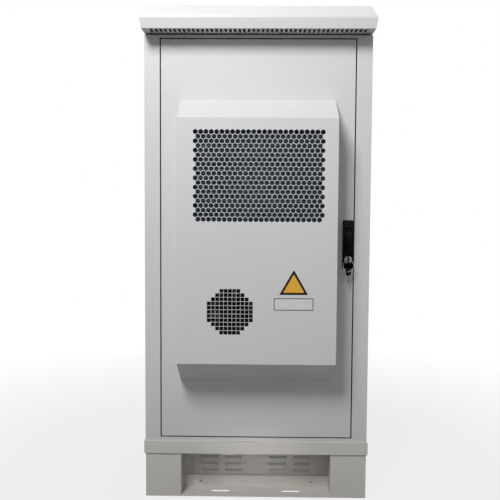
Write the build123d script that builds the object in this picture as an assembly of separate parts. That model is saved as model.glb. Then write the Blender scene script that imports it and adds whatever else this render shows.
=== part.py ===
"""Roadside utility cabinet: an outdoor steel equipment cabinet on a plinth, under a rain hood.

Millimetres, +Z up, front towards -Y. The origin is on the floor, at the centre of the four
anchor slots of the plinth.
"""

import os
from math import sqrt

from build123d import *

# Body
BODY_W = 750.0
BODY_D = 750.0
BODY_TOP = 1550.0
SHEET = 2.0
FRONT_DEPTH = 30.0
STOP_LIP = 43.0
SIDE_FLANGE = 30.0
ROOF_FLANGE = 25.0

# Door opening and door
FRAME_SIDE = 51.0
FRAME_TOP = 9.5
FRAME_BOTTOM = 13.0
DOOR_GAP = 4.0
DOOR_DEPTH = 20.0
DOOR_FLANGE = 37.0
GASKET_W = 10.0
GASKET_INSET = 29.0
SEAL_CLEAR = 0.3

# Door pivot, measured from the door's own edge and front
PIVOT_IN = 12.0
PIVOT_BACK = 8.0
PIN_R = 4.0
PIN_CLEAR = 0.05
HOLE_CLEAR = 0.3
PIN_HEAD_R = 5.8
PIN_HEAD_H = 3.0
PIN_REACH = 40.0
BRACKET_W = 20.0
BRACKET_H = 46.0

# Plinth and base frame
PLINTH_H = 150.0
FOOT_W = 120.0
FOOT_INSET = 1.0
FOOT_WALL = 3.0
SILL_H = 43.0
SILL_PROUD = 4.0
SILL_WALL = 3.0
SILL_FLANGE = 45.0
ANGLE_DEPTH = 89.0
ANGLE_LIP = 42.0
ANGLE_T = 3.0
SLOT_L = 66.0
SLOT_W = 18.5
SLOT_X = 122.0
SLOT_BACK = 46.0
LIP_HOLE_X = 194.0
LIP_HOLE_Z = 20.0
LIP_HOLE_R = 4.0
PANEL_BACK = 92.0
PANEL_CLEAR = 3.0
SIDE_PANEL_RECESS = 20.0

# Vent plates
VENT_W = 200.0
VENT_H = 75.0
VENT_T = 1.5
VENT_X = 120.0
VENT_Z = 83.5
LOUVRE_W = 58.0
LOUVRE_H = 12.0
LOUVRE_NOSE = 2.4
LOUVRE_PROUD = 6.0
LOUVRE_T = 1.2
LOUVRE_PITCH = 23.5
LOUVRE_X = 42.0
LOUVRE_ROWS = 3
VENT_RIM = 14.0
VENT_LOW_RIM = 6.0

# Canopy
CANOPY_GAP = 4.0
FASCIA_H = 36.0
SLOPE_H = 39.0
FRONT_OVERHANG = 76.0
FASCIA_LEAN = 5.5
SLOPE_RUN = 20.0
HOOD_PROUD = 4.0
HEM = 8.0
SOFFIT_T = 1.5
SOFFIT_BACK = 23.0
SLIT_PITCH = 15.0
SLIT_W = 8.0
SLIT_L = 46.0
SLIT_FRONT = 4.0
SLIT_END = 6.0
BEARER_W = 40.0
BEARER_FOOT = 12.0
BEARER_Y = 200.0
BEARER_SIDE = 35.0

# Floor and cable entry
ENTRY_W = 400.0
ENTRY_D = 180.0
ENTRY_Y = 60.0
GLAND_RIM = 22.0
GLAND_PITCH = 160.0
GLAND_COUNT = 2
GLAND_R = 16.0
GLAND_BORE_R = 9.0
GLAND_NUT_R = 19.0
GLAND_NUT_H = 6.0
GLAND_CAP_H = 26.0

# Equipment frame
RACK_W = 465.0
RAIL_LEG = 40.0
RAIL_T = 2.0
RAIL_FRONT_Y = -180.0
RAIL_REAR_Y = 250.0
BAR_D = 60.0
BAR_H = 40.0
BAR_TOP_DROP = 27.0
RAIL_HOLE = 9.5
RAIL_HOLES = 6
RAIL_HOLE_IN = 12.0
SHELF_Z = 500.0
SHELF_H = 30.0

# Ground bar
GROUND_L = 300.0
GROUND_H = 25.0
GROUND_T = 5.0
GROUND_Z = 340.0
GROUND_OFF = 25.0
GROUND_HOLE_R = 3.5
GROUND_HOLES = 3
STANDOFF_R = 9.0

# Air conditioner cover
COVER_LOCK_CLEAR = 29.0
COVER_OUT = 120.0
COVER_FRONT_LOW = 485.0
COVER_FRONT_HIGH = 1268.0
COVER_BACK_LOW = 403.0
COVER_BACK_HIGH = 1340.0
HEX_X = 3.0
HEX_LOW = 941.0
HEX_HIGH = 1232.0
HEX_MARGIN = 48.0
HEX_PITCH = 45.5
HEX_WEB = 8.0
ROUND_X = -91.0
ROUND_Z = 654.0
ROUND_PITCH = 20.6
ROUND_HOLE = 15.0
ROUND_ROWS = (3, 5, 7, 7, 7, 5, 3)

# Air conditioner inside
RIM_CLEAR = 3.0
SLEEVE_LOW = 455.0
SLEEVE_HIGH = 1303.0
SLEEVE_IN = 75.0
SLEEVE_CLEAR = 2.0
RIM_W = 22.0
TRAY_OUT = 70.0
TRAY_LIP = 18.0
INNER_SIDE = 28.0
INNER_LOW = 480.0
INNER_HIGH = 1270.0
INNER_DEPTH = 80.0
INNER_T = 1.5
SUPPLY_SIDE = 50.0
SUPPLY_H = 12.0
SUPPLY_PITCH = 24.0
SUPPLY_COUNT = 4
SUPPLY_DROP = 50.0
COIL_FINS = 12
FIN_T = 1.2
COIL_PLATE = 3.0
COIL_BAR = 10.0
CONDENSER_SIDE = 21.0
CONDENSER_DEPTH = 32.0
CONDENSER_SET_BACK = 12.0
EVAPORATOR_SIDE = 30.0
EVAPORATOR_H = 300.0
EVAPORATOR_Z = 1000.0
EVAPORATOR_DEPTH = 36.0
EVAPORATOR_FOOT = 10.0
COMPRESSOR_R = 52.0
COMPRESSOR_H = 170.0
COMPRESSOR_X = 110.0
COMPRESSOR_Y = -380.0
COMPRESSOR_DOME = 24.0
COMPRESSOR_BASE = 126.0
COMPRESSOR_BASE_T = 6.0

# Compact axial fan, used twice
FAN_R = 72.5
FAN_WALL = 2.0
FAN_FLANGE = 176.0
FAN_FLANGE_T = 2.0
FAN_DEPTH = 48.0
FAN_TIP_CLEAR = 2.5
FAN_HUB_R = 23.0
FAN_MOTOR_R = 25.0
FAN_MOTOR_L = 20.0
FAN_SPOKE_W = 8.0
FAN_SPOKE_T = 4.0
FAN_SPOKES = 3
FAN_BLADES = 7
FAN_BLADE_T = 2.0
FAN_BLADE_PITCH = 38.0
FAN_BLADE_CHORD = 30.0
FAN_HUB_L = 24.0
FAN_SET_IN = 6.0
FAN_SHAFT_R = 4.0
FAN_SHAFT_L = 14.0
INNER_FAN_Z = 620.0

# Lock
LOCK_W = 36.0
LOCK_H = 162.0
LOCK_Z = 865.0
LOCK_T = 6.0
LOCK_BEVEL = 2.0
SPINDLE_DROP = 21.0
SPINDLE_R = 5.0
SPINDLE_END = 15.0
BOSS_R = 13.0
BOSS_T = 5.0
BOSS_GAP = 0.3
EAR_W = 5.0
EAR_R = 8.0
EAR_GAP = 12.0
LIFT_OUT = 10.5
LIFT_PIN_R = 2.5
LEVER_W = 22.0
LEVER_T = 12.0
LEVER_TOP = 14.5
LEVER_L = 88.0
LEVER_GAP = 2.5
KNUCKLE_CLEAR = 0.3
KNUCKLE_R = 5.2
NECK_T = 7.0
KEY_DROP = 50.0
CYLINDER_R = 12.0
CYLINDER_OUT = 8.0
PLUG_R = 7.0
PLUG_SHORT = 2.0
BOW_W = 22.0
BOW_H = 24.0
BOW_T = 3.0
BOW_CORNER = 6.0
BOW_GAP = 3.0
BOW_HOLE_R = 3.0
BLADE_W = 8.0
BLADE_T = 2.0
BLADE_L = 27.0
RING_R = 18.0
WIRE_R = 1.0
WIRE_SLACK = 0.3
CASE_W = 28.0
CASE_TOP = 35.0
CASE_LOW = 145.0
CASE_T = 15.0
ROD_W = 12.0
ROD_T = 4.0
ROD_CLEAR = 0.1
ROD_IN = 20.0
ROD_BORE = 24.0
ROD_SHORT = 1.0
KEEPER_CLEAR = 2.0

# Planes and edges that several pieces share
FRONT = -BODY_D / 2
REAR = BODY_D / 2
SIDE = BODY_W / 2
BODY_LOW = PLINTH_H + SILL_H
FRAME_BACK = FRONT + FRONT_DEPTH
OPEN_X = SIDE - FRAME_SIDE
OPEN_LOW = BODY_LOW + FRAME_BOTTOM
OPEN_HIGH = BODY_TOP - FRAME_TOP
DOOR_X = OPEN_X - DOOR_GAP
DOOR_LOW = OPEN_LOW + DOOR_GAP
DOOR_HIGH = OPEN_HIGH - DOOR_GAP
DOOR_BACK = FRONT + DOOR_DEPTH
PIVOT_X = -DOOR_X + PIVOT_IN
PIVOT_Y = FRONT + PIVOT_BACK
LOCK_X = DOOR_X - LOCK_W / 2
COVER_W = 2 * (LOCK_X - LOCK_W / 2 - COVER_LOCK_CLEAR)
HEX_W = COVER_W - 2 * HEX_MARGIN
SLEEVE_W = COVER_W - 2 * (SHEET + RIM_CLEAR + RIM_W)
INNER_W = SLEEVE_W - 2 * INNER_SIDE
SUPPLY_W = INNER_W - 2 * SUPPLY_SIDE
CONDENSER_W = COVER_W - 2 * (SHEET + CONDENSER_SIDE)
EVAPORATOR_W = INNER_W - 2 * EVAPORATOR_SIDE
SPINDLE_Z = LOCK_Z + LOCK_H / 2 - SPINDLE_DROP
KEY_Z = LOCK_Z - KEY_DROP
ROD_Y = FRONT + DOOR_DEPTH / 2
COVER_FRONT = FRONT - COVER_OUT
FOOT_X = SIDE - FOOT_INSET
FOOT_INNER = FOOT_X - FOOT_W
FLOOR_TOP = BODY_LOW + SHEET
PARTITION_Y = FRONT + SLEEVE_IN
INNER_BACK = PARTITION_Y + INNER_DEPTH


def block(x_low, x_high, y_low, y_high, z_low, z_high):
    """A box given by its lowest and highest corners."""
    size = (x_high - x_low, y_high - y_low, z_high - z_low)
    return Pos(x_low, y_low, z_low) * Box(*size, align=(Align.MIN, Align.MIN, Align.MIN))


def rect(x_low, x_high, y_low, y_high):
    """A rectangle given by its lowest and highest corners, in either order."""
    middle = Pos((x_low + x_high) / 2, (y_low + y_high) / 2)
    return middle * Rectangle(abs(x_high - x_low), abs(y_high - y_low))


def strip(points, thickness):
    """The outline of a folded sheet: a path, thickened to its left, with mitred corners."""
    path = [Vector(*point) for point in points]
    headings = [(b - a).normalized() for a, b in zip(path, path[1:])]
    lefts = [Vector(-h.Y, h.X) for h in headings]
    inner = [path[0] + lefts[0] * thickness]
    for point, one, two in zip(path[1:-1], lefts, lefts[1:]):
        corner = one + two
        inner.append(point + corner * (2 * thickness / corner.dot(corner)))
    inner.append(path[-1] + lefts[-1] * thickness)
    return make_face(Polyline(*path, *reversed(inner), close=True).edges())


def along_z(face, low, high):
    """A section drawn in plan, drawn out from one height to another."""
    return Pos(0, 0, low) * extrude(face, amount=high - low, dir=(0, 0, 1))


def along_x(face, low, high):
    """A section drawn in (Y, Z), drawn out along X."""
    return Pos(low, 0, 0) * extrude(Plane.YZ * face, amount=high - low, dir=(1, 0, 0))


def along_y(face, low, high):
    """A section drawn in (X, Z), drawn out along Y."""
    plane = Plane(origin=(0, 0, 0), x_dir=(1, 0, 0), z_dir=(0, -1, 0))
    return Pos(0, low, 0) * extrude(plane * face, amount=high - low, dir=(0, 1, 0))


def shaft_y(x, z, radius, low, high):
    """A round bar along Y."""
    return along_y(Pos(x, z) * Circle(radius), low, high)


def shaft_z(x, y, radius, low, high):
    """A round bar along Z."""
    return along_z(Pos(x, y) * Circle(radius), low, high)


def rod(extra, low, high):
    """A stretch of the lock's flat rod, grown all round by extra for a hole it runs in."""
    half_w, half_t = ROD_W / 2 + extra, ROD_T / 2 + extra
    return along_z(rect(LOCK_X - half_w, LOCK_X + half_w, ROD_Y - half_t, ROD_Y + half_t), low, high)


def mirrored_x(shape):
    return mirror(shape, about=Plane.YZ)


def mirrored_y(shape):
    return mirror(shape, about=Plane.XZ)


def foot():
    """The front left corner box of the plinth: a folded square tube."""
    outer = Rectangle(FOOT_W, FOOT_W)
    inner = Rectangle(FOOT_W - 2 * FOOT_WALL, FOOT_W - 2 * FOOT_WALL)
    tube = Pos(-FOOT_X + FOOT_W / 2, FRONT + FOOT_W / 2) * (outer - inner)
    return along_z(tube, 0, PLINTH_H)


def base_angle():
    """The angle between the front feet, with two slots for the anchor bolts."""
    back = FRONT + ANGLE_DEPTH
    section = strip([(FRONT, 0), (back, 0), (back, ANGLE_LIP)], ANGLE_T)
    angle = along_x(section, -FOOT_INNER, FOOT_INNER)
    slot = SlotOverall(SLOT_L, SLOT_W)
    for side in (-1, 1):
        angle -= along_z(Pos(side * SLOT_X, FRONT + SLOT_BACK) * slot, -1, ANGLE_T + 1)
        angle -= shaft_y(side * LIP_HOLE_X, LIP_HOLE_Z, LIP_HOLE_R, back - 2 * ANGLE_T, back + 1)
    return angle


def plinth_panel(windows):
    """The recessed panel between two feet, with a flange under the base frame."""
    y = FRONT + PANEL_BACK
    path = [(y, PANEL_CLEAR), (y, PLINTH_H), (y + SIDE_FLANGE, PLINTH_H)]
    panel = along_x(strip(path, -SHEET), -FOOT_INNER, FOOT_INNER)
    if windows:
        wide, tall = VENT_W - 2 * VENT_RIM, VENT_H - 2 * VENT_LOW_RIM
        for side in (-1, 1):
            window = Pos(side * VENT_X, VENT_Z) * Rectangle(wide, tall)
            panel -= along_y(window, y - 1, y + SHEET + 1)
    return panel


def side_plinth_panel():
    """The panel between the front and rear feet, on the left."""
    x = -FOOT_X + SIDE_PANEL_RECESS
    end = REAR - FOOT_W
    path = [(x, -end), (x, end)]
    return along_z(strip(path, -SHEET), PANEL_CLEAR, PLINTH_H)


def louvre(x, z, back):
    """One louvre pressed out of a plate, and the space inside it: the mouth faces down."""
    nose = back - VENT_T - LOUVRE_PROUD
    top = z + LOUVRE_H
    outer = Polyline((back, z), (nose, z), (nose, z + LOUVRE_NOSE), (back, top), close=True)
    inner_nose = nose + LOUVRE_T
    inner = Polyline(
        (back + 1, z - 1),
        (inner_nose, z - 1),
        (inner_nose, z + LOUVRE_NOSE - LOUVRE_T / 2),
        (back + 1, top - LOUVRE_T),
        close=True,
    )
    half = LOUVRE_W / 2
    shell = along_x(make_face(outer.edges()), x - half, x + half)
    half -= LOUVRE_T
    return shell, along_x(make_face(inner.edges()), x - half, x + half)


def vent_plate(x):
    """A pressed plate with louvres, over a window of the plinth panel."""
    y = FRONT + PANEL_BACK
    plate = along_y(Pos(x, VENT_Z) * Rectangle(VENT_W, VENT_H), y - VENT_T, y)
    lowest = VENT_Z - (LOUVRE_ROWS - 1) / 2 * LOUVRE_PITCH - LOUVRE_H / 2
    for side in (-1, 1):
        for row in range(LOUVRE_ROWS):
            shell, space = louvre(x + side * LOUVRE_X, lowest + row * LOUVRE_PITCH, y)
            plate = plate + shell - space
    return plate


def base_frame():
    """The welded channel frame between the plinth and the body."""
    wide = BODY_W + 2 * SILL_PROUD
    deep = BODY_D + 2 * SILL_PROUD
    ring = Rectangle(wide, deep) - Rectangle(wide - 2 * SILL_FLANGE, deep - 2 * SILL_FLANGE)
    hollow = Rectangle(wide - 2 * SILL_WALL, deep - 2 * SILL_WALL)
    frame = along_z(ring, PLINTH_H, BODY_LOW)
    return frame - along_z(hollow, PLINTH_H + SILL_WALL, BODY_LOW - SILL_WALL)


def floor_panel():
    """The body's floor sheet, with the cable entry."""
    back = REAR - SHEET
    front = FRAME_BACK + SHEET
    sheet = block(-SIDE + SHEET, SIDE - SHEET, front, back, BODY_LOW, FLOOR_TOP)
    entry = Pos(0, ENTRY_Y) * Rectangle(ENTRY_W, ENTRY_D)
    return sheet - along_z(entry, BODY_LOW - 1, FLOOR_TOP + 1)


def gland_places():
    first = -(GLAND_COUNT - 1) / 2 * GLAND_PITCH
    return [first + i * GLAND_PITCH for i in range(GLAND_COUNT)]


def gland_plate():
    """The loose plate over the cable entry, with a hole for each gland."""
    plate = Pos(0, ENTRY_Y) * Rectangle(ENTRY_W + 2 * GLAND_RIM, ENTRY_D + 2 * GLAND_RIM)
    for x in gland_places():
        plate -= Pos(x, ENTRY_Y) * Circle(GLAND_R + HOLE_CLEAR)
    return along_z(plate, FLOOR_TOP, FLOOR_TOP + SHEET)


def cable_gland(x):
    """A gland with its nut below the plate and its cap above, open for one cable."""
    plate_top = FLOOR_TOP + SHEET
    nut_low = FLOOR_TOP - GLAND_NUT_H
    nut = along_z(Pos(x, ENTRY_Y) * RegularPolygon(GLAND_NUT_R, 6), nut_low, FLOOR_TOP)
    neck = shaft_z(x, ENTRY_Y, GLAND_R, nut_low - 2, plate_top)
    top = plate_top + GLAND_CAP_H
    cap = along_z(Pos(x, ENTRY_Y) * RegularPolygon(GLAND_NUT_R, 6), plate_top, top)
    return nut + neck + cap - shaft_z(x, ENTRY_Y, GLAND_BORE_R, nut_low - 3, top + 1)


def front_post():
    """The left border of the door opening: a folded post with the stop lip for the door."""
    path = [
        (-SIDE, FRAME_BACK),
        (-SIDE, FRONT),
        (-OPEN_X, FRONT),
        (-OPEN_X, FRAME_BACK),
    ]
    post = along_z(strip(path, SHEET), BODY_LOW, BODY_TOP)
    lip = rect(-OPEN_X - SHEET, -OPEN_X + STOP_LIP, FRAME_BACK - SHEET, FRAME_BACK)
    return post + along_z(lip, BODY_LOW, BODY_TOP)


def front_rail(edge, outer, sign):
    """The top or bottom border of the door opening, with its stop lip and the holes in it."""
    inner = edge + sign * SHEET
    lip_front = FRAME_BACK - SHEET
    shelf = rect(FRONT, lip_front, edge, inner)
    face = rect(FRONT, FRONT + SHEET, edge, outer)
    cap = rect(FRONT, lip_front, outer, outer - sign * SHEET)
    rail = along_x(shelf + face + cap, -OPEN_X, OPEN_X)
    lip = rect(lip_front, FRAME_BACK, inner, edge - sign * STOP_LIP)
    rail += along_x(lip, -OPEN_X + STOP_LIP, OPEN_X - STOP_LIP)
    low, high = sorted((edge - sign, inner + sign))
    rail -= shaft_z(PIVOT_X, PIVOT_Y, PIN_R + HOLE_CLEAR, low, high)
    return rail - rod(KEEPER_CLEAR, low, high)


def side_panel():
    """The left wall, folded in at its front and rear edges."""
    path = [
        (-SIDE + SIDE_FLANGE, REAR),
        (-SIDE, REAR),
        (-SIDE, FRAME_BACK),
        (-SIDE + SIDE_FLANGE, FRAME_BACK),
    ]
    return along_z(strip(path, SHEET), BODY_LOW, BODY_TOP)


def rear_panel():
    """The rear wall between the side walls' flanges, with two hat stiffeners inside."""
    x = SIDE - SIDE_FLANGE
    wall = block(-x, x, REAR - SHEET, REAR, BODY_LOW, BODY_TOP)
    inner = REAR - SHEET
    low, high = BODY_LOW + BAR_H * 2, BODY_TOP - BAR_H * 2
    for middle in (-x / 2, x / 2):
        hat = [
            (middle - 30, inner),
            (middle - 18, inner),
            (middle - 14, inner - 14),
            (middle + 14, inner - 14),
            (middle + 18, inner),
            (middle + 30, inner),
        ]
        wall += along_z(strip(hat, -SHEET), low, high)
    return wall


def roof_panel():
    """The roof sheet, folded down on its four sides."""
    low = BODY_TOP - ROOF_FLANGE
    x, y_low, y_high = SIDE - SHEET, FRAME_BACK + SHEET, REAR - SHEET
    outer = block(-x, x, y_low, y_high, low, BODY_TOP)
    x -= SHEET
    return outer - block(-x, x, y_low + SHEET, y_high - SHEET, low - 1, BODY_TOP - SHEET)


CANOPY_LOW = BODY_TOP + CANOPY_GAP
CANOPY_BREAK = CANOPY_LOW + FASCIA_H
CANOPY_TOP = CANOPY_BREAK + SLOPE_H


def hood_section(inset, z):
    """One level of the hood: inset is measured in from its widest line."""
    wide = SIDE + HOOD_PROUD - inset
    front = FRONT - FRONT_OVERHANG + inset
    rear = REAR + HOOD_PROUD - inset
    return Pos(0, 0, z) * rect(-wide, wide, front, rear)


def hood_body(wall):
    """The hood's outer form, or with a wall its inner form."""
    low = loft([hood_section(FASCIA_LEAN + wall, CANOPY_LOW), hood_section(wall, CANOPY_BREAK)])
    top = CANOPY_TOP - wall
    high = loft([hood_section(wall, CANOPY_BREAK), hood_section(SLOPE_RUN + wall, top)])
    return low + high


def canopy_hood():
    """The folded rain hood, with a hem turned in round its lower edge."""
    hood = hood_body(0) - hood_body(SHEET)
    outer = hood_section(FASCIA_LEAN + SHEET / 2, CANOPY_LOW)
    inner = hood_section(FASCIA_LEAN + HEM, CANOPY_LOW)
    return hood + extrude(outer - inner, amount=SHEET, dir=(0, 0, 1))


def canopy_soffit():
    """The slotted strip under the front overhang, resting on the hem and on the body's top."""
    z = CANOPY_LOW + SHEET
    x = SIDE + HOOD_PROUD - FASCIA_LEAN - HEM
    hem_back = FRONT - FRONT_OVERHANG + FASCIA_LEAN + HEM
    front = hem_back - HEM + SHEET + 1
    back = FRONT + SOFFIT_BACK
    path = [(front, z), (back, z), (back, BODY_TOP)]
    soffit = along_x(strip(path, SOFFIT_T), -x, x)
    count = int(2 * (x - SLIT_END) / SLIT_PITCH)
    slit = Rectangle(SLIT_W, SLIT_L)
    y = hem_back + SLIT_FRONT + SLIT_L / 2
    places = [Pos((i - (count - 1) / 2) * SLIT_PITCH, y) for i in range(count)]
    return soffit - [along_z(place * slit, z - 1, z + SOFFIT_T + 1) for place in places]


def canopy_bearer(y):
    """A hat section between the roof and the underside of the hood."""
    top = CANOPY_TOP - SHEET
    half = BEARER_W / 2
    foot_half = half + BEARER_FOOT
    outer = rect(y - half, y + half, BODY_TOP, top)
    inner = rect(y - half + SHEET, y + half - SHEET, BODY_TOP - 1, top - SHEET)
    feet = rect(y - foot_half, y + foot_half, BODY_TOP, BODY_TOP + SHEET)
    x = SIDE - BEARER_SIDE
    return along_x(outer + feet - inner, -x, x)


RAIL_LOW = FLOOR_TOP + BAR_H
RAIL_HIGH = BODY_TOP - BAR_TOP_DROP - BAR_H


def rail_bearers():
    """Four channels from wall to wall that carry the rack rails."""
    bars = []
    section = Rectangle(BAR_D, BAR_H) - Rectangle(BAR_D - 2 * SHEET, BAR_H - 2 * SHEET)
    for y in (RAIL_FRONT_Y + RAIL_LEG / 2, RAIL_REAR_Y - RAIL_LEG / 2):
        for low in (FLOOR_TOP, RAIL_HIGH):
            tube = Pos(y, low + BAR_H / 2) * section
            bars.append(along_x(tube, -SIDE + SHEET, SIDE - SHEET))
    return Compound(children=bars)


def rack_rail(y, towards):
    """A left rack rail: an angle with square mounting holes."""
    x = -RACK_W / 2
    far = y + towards * RAIL_LEG
    face = rect(x - RAIL_LEG, x, *sorted((y, y + towards * RAIL_T)))
    leg = rect(x - RAIL_LEG, x - RAIL_LEG + RAIL_T, *sorted((y, far)))
    rail = along_z(face + leg, RAIL_LOW, RAIL_HIGH)
    step = (RAIL_HIGH - RAIL_LOW) / RAIL_HOLES
    hole = Rectangle(RAIL_HOLE, RAIL_HOLE)
    low, high = sorted((y - towards, y + towards * (RAIL_T + 1)))
    heights = [RAIL_LOW + (i + 0.5) * step for i in range(RAIL_HOLES)]
    return rail - [along_y(Pos(x - RAIL_HOLE_IN, z) * hole, low, high) for z in heights]


def equipment_shelf():
    """A tray between the four rails, with its edges folded down."""
    x = RACK_W / 2 + RAIL_LEG - RAIL_T
    y_low, y_high = RAIL_FRONT_Y + RAIL_T, RAIL_REAR_Y - RAIL_T
    top = SHELF_Z
    tray = block(-x, x, y_low, y_high, top - SHELF_H, top)
    x -= SHEET
    return tray - block(-x, x, y_low + SHEET, y_high - SHEET, top - SHELF_H - 1, top - SHEET)


def ground_bar():
    """The copper bar that the ground wires meet on, held off the left wall."""
    x = -SIDE + SHEET + GROUND_OFF
    bar = block(x, x + GROUND_T, -GROUND_L / 2, GROUND_L / 2, GROUND_Z, GROUND_Z + GROUND_H)
    step = GROUND_L / (GROUND_HOLES + 1)
    hole = Plane.YZ * Circle(GROUND_HOLE_R)
    for i in range(GROUND_HOLES):
        y = -GROUND_L / 2 + (i + 1) * step
        cut = extrude(hole, amount=GROUND_T + 2, dir=(1, 0, 0))
        bar -= Pos(x - 1, y, GROUND_Z + GROUND_H / 2) * cut
    return bar


def ground_standoffs():
    """The two insulators behind the ground bar."""
    x = -SIDE + SHEET
    post = extrude(Plane.YZ * Circle(STANDOFF_R), amount=GROUND_OFF, dir=(1, 0, 0))
    y = GROUND_L / 2 - STANDOFF_R * 1.5
    z = GROUND_Z + GROUND_H / 2
    return Compound(children=[Pos(x, side * y, z) * post for side in (-1, 1)])


def door_gasket():
    """The rubber seal on the frame's stop lip."""
    x = OPEN_X - GASKET_INSET
    low, high = OPEN_LOW + GASKET_INSET, OPEN_HIGH - GASKET_INSET
    outer = rect(-x, x, low, high)
    inner = rect(-x + GASKET_W, x - GASKET_W, low + GASKET_W, high - GASKET_W)
    return along_y(outer - inner, DOOR_BACK + SEAL_CLEAR, FRAME_BACK - SHEET)


def hinge_pins():
    """The two pins the door turns on: the upper hangs by its head, the lower has a collar."""
    head_low = OPEN_HIGH + SHEET
    top = shaft_z(PIVOT_X, PIVOT_Y, PIN_R, DOOR_HIGH - PIN_REACH, head_low)
    top += shaft_z(PIVOT_X, PIVOT_Y, PIN_HEAD_R, head_low, head_low + PIN_HEAD_H)
    low = shaft_z(PIVOT_X, PIVOT_Y, PIN_R, OPEN_LOW - SHEET - PIN_HEAD_H, DOOR_LOW + PIN_REACH)
    low += shaft_z(PIVOT_X, PIVOT_Y, PIN_HEAD_R, OPEN_LOW, DOOR_LOW - SEAL_CLEAR)
    return Compound(children=[top, low])


def door_panel():
    """The folded door pan, with its cut-out for the air conditioner."""
    pan = block(-DOOR_X, DOOR_X, FRONT, DOOR_BACK, DOOR_LOW, DOOR_HIGH)
    x, low, high = DOOR_X - SHEET, DOOR_LOW + SHEET, DOOR_HIGH - SHEET
    pan -= block(-x, x, FRONT + SHEET, DOOR_BACK - SHEET, low, high)
    x, low, high = DOOR_X - DOOR_FLANGE, DOOR_LOW + DOOR_FLANGE, DOOR_HIGH - DOOR_FLANGE
    pan -= block(-x, x, DOOR_BACK - SHEET - 1, DOOR_BACK + 1, low, high)
    x = SLEEVE_W / 2 + SLEEVE_CLEAR
    low, high = SLEEVE_LOW - SLEEVE_CLEAR, SLEEVE_HIGH + SLEEVE_CLEAR
    pan -= block(-x, x, FRONT - 1, FRONT + SHEET + 1, low, high)
    front, back = FRONT - 1, FRONT + SHEET + 1
    pan -= shaft_y(LOCK_X, SPINDLE_Z, SPINDLE_R + HOLE_CLEAR, front, back)
    for z in (DOOR_HIGH - SHEET - 1, DOOR_LOW - 1):
        pan -= rod(HOLE_CLEAR, z, z + SHEET + 2)
        pan -= shaft_z(PIVOT_X, PIVOT_Y, PIN_R + HOLE_CLEAR, z, z + SHEET + 2)
    return pan


def hinge_brackets():
    """The two blocks in the door's left corners that the pins turn in."""
    x_low = -DOOR_X + SHEET
    y_low, y_high = FRONT + SHEET, DOOR_BACK - SHEET
    blocks = []
    for low in (DOOR_LOW + SHEET, DOOR_HIGH - SHEET - BRACKET_H):
        bracket = block(x_low, x_low + BRACKET_W, y_low, y_high, low, low + BRACKET_H)
        bore = shaft_z(PIVOT_X, PIVOT_Y, PIN_R + PIN_CLEAR, low - 1, low + BRACKET_H + 1)
        blocks.append(bracket - bore)
    return Compound(children=blocks)


def cover_section(wall):
    """The cover's side view: upright front, with a slope above it and below it."""
    up = COVER_FRONT_LOW - COVER_BACK_LOW
    down = COVER_BACK_HIGH - COVER_FRONT_HIGH
    low_shift = wall * (sqrt(up**2 + COVER_OUT**2) / COVER_OUT)
    high_shift = wall * (sqrt(down**2 + COVER_OUT**2) / COVER_OUT)
    front = COVER_FRONT + wall
    path = [
        (FRONT, COVER_BACK_LOW + low_shift),
        (front, COVER_FRONT_LOW + low_shift - wall * up / COVER_OUT),
        (front, COVER_FRONT_HIGH - high_shift + wall * down / COVER_OUT),
        (FRONT, COVER_BACK_HIGH - high_shift),
    ]
    return make_face(Polyline(*path, close=True).edges())


def hex_places():
    """Centres of the intake holes: as many as fit the field, each row half a pitch over."""
    rise = HEX_PITCH * sqrt(3) / 2
    rows = int((HEX_HIGH - HEX_LOW - HEX_PITCH) / rise) + 1
    columns = int(HEX_W / HEX_PITCH)
    middle = (HEX_LOW + HEX_HIGH) / 2
    places = []
    for row in range(rows):
        count = columns - row % 2
        z = middle + (row - (rows - 1) / 2) * rise
        places += [Pos(HEX_X + (i - (count - 1) / 2) * HEX_PITCH, z) for i in range(count)]
    return places


def round_places():
    """Centres of the square holes in front of the fan."""
    middle = (len(ROUND_ROWS) - 1) / 2
    places = []
    for row, count in enumerate(ROUND_ROWS):
        z = ROUND_Z + (row - middle) * ROUND_PITCH
        places += [Pos(ROUND_X + (i - (count - 1) / 2) * ROUND_PITCH, z) for i in range(count)]
    return places


def ac_cover():
    """The outer cover: a folded shell with a field of hexagons and a round field of squares."""
    half = COVER_W / 2
    shell = along_x(cover_section(0), -half, half)
    shell -= along_x(cover_section(SHEET), -half + SHEET, half - SHEET)
    hexagon_r = (HEX_PITCH - HEX_WEB) / sqrt(3)
    hexagon = RegularPolygon(hexagon_r, 6, rotation=30)
    square = Rectangle(ROUND_HOLE, ROUND_HOLE)
    holes = [place * hexagon for place in hex_places()]
    holes += [place * square for place in round_places()]
    return shell - [along_y(hole, COVER_FRONT - 1, COVER_FRONT + SHEET + 1) for hole in holes]


def ac_chassis():
    """The tub through the door, with its rim on the door's face and a tray at its foot."""
    x = SLEEVE_W / 2
    tub = block(-x, x, FRONT - SHEET, PARTITION_Y, SLEEVE_LOW, SLEEVE_HIGH)
    inner = x - SHEET
    low, high = SLEEVE_LOW + SHEET, SLEEVE_HIGH - SHEET
    rim = rect(-x - RIM_W, x + RIM_W, SLEEVE_LOW - RIM_W, SLEEVE_HIGH + RIM_W)
    tub += along_y(rim, FRONT - SHEET, FRONT)
    tub -= block(-inner, inner, FRONT - SHEET - 1, PARTITION_Y - SHEET, low, high)
    lip_y = FRONT - TRAY_OUT
    tub += block(-inner, inner, lip_y, FRONT - SHEET, SLEEVE_LOW, low)
    return tub + block(-inner, inner, lip_y, lip_y + SHEET, SLEEVE_LOW, SLEEVE_LOW + TRAY_LIP)


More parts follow.
